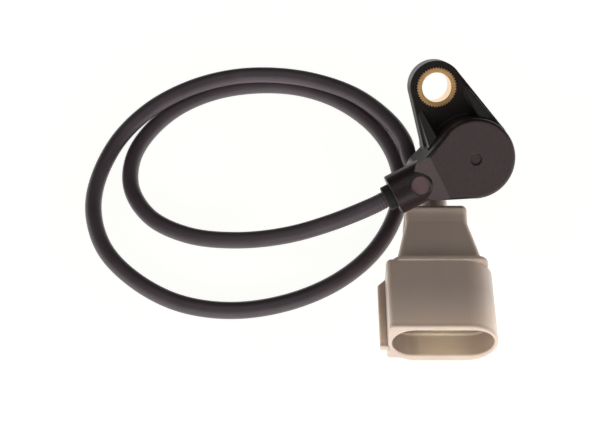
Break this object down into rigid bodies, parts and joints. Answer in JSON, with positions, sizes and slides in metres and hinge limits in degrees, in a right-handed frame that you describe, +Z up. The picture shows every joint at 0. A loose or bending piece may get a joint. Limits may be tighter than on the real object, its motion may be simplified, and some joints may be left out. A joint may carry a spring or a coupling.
{
  "type": "crankshaft position sensor",
  "caption": "Black moulded engine sensor with a disc-shaped head, a flanged fixing eye with knurled bush, a sealed spigot and a looped cable that ends in a grey oval plug.",
  "frame": {"origin": "on the surface that the part lies on, below the middle of the sensor head's box", "axes": "+Z up, -Y the way the plug's mouth points, +X to the right of someone who looks at the sensor's face"},
  "size_m": [0.1011, 0.0855, 0.0378],
  "materials": {
    "housing_plastic": "fine matt moulding",
    "bobbin_plastic": "matt moulding",
    "bush_brass": "knurled, bright",
    "seal_rubber": "matt",
    "grommet_rubber": "matt",
    "core_iron": "turned",
    "magnet": "plated",
    "winding_copper": "enamelled copper wire",
    "cable_jacket": "matt jacket",
    "plug_plastic": "warm grey satin moulding",
    "post_metal": "tinned bronze",
    "blade_tin": "tin plated",
    "core_insulation_1": "extruded",
    "core_insulation_2": "extruded",
    "core_insulation_3": "extruded"
  },
  "bodies": {
    "root": {"sensor_housing": "housing_plastic", "fixing_bush": "bush_brass", "spigot_seal": "seal_rubber", "pole_core": "core_iron", "bias_magnet": "magnet", "coil_bobbin": "bobbin_plastic", "coil_winding": "winding_copper", "contact_post_1": "post_metal", "contact_post_2": "post_metal", "head_core_1": "core_insulation_1", "head_core_2": "core_insulation_2", "cable_grommet": "grommet_rubber", "cable": "cable_jacket", "plug_housing": "plug_plastic", "blade_terminal_1": "blade_tin", "blade_terminal_2": "blade_tin", "blade_terminal_3": "blade_tin", "plug_core_1": "core_insulation_1", "plug_core_2": "core_insulation_2", "plug_core_3": "core_insulation_3"}
  },
  "joints": []
}
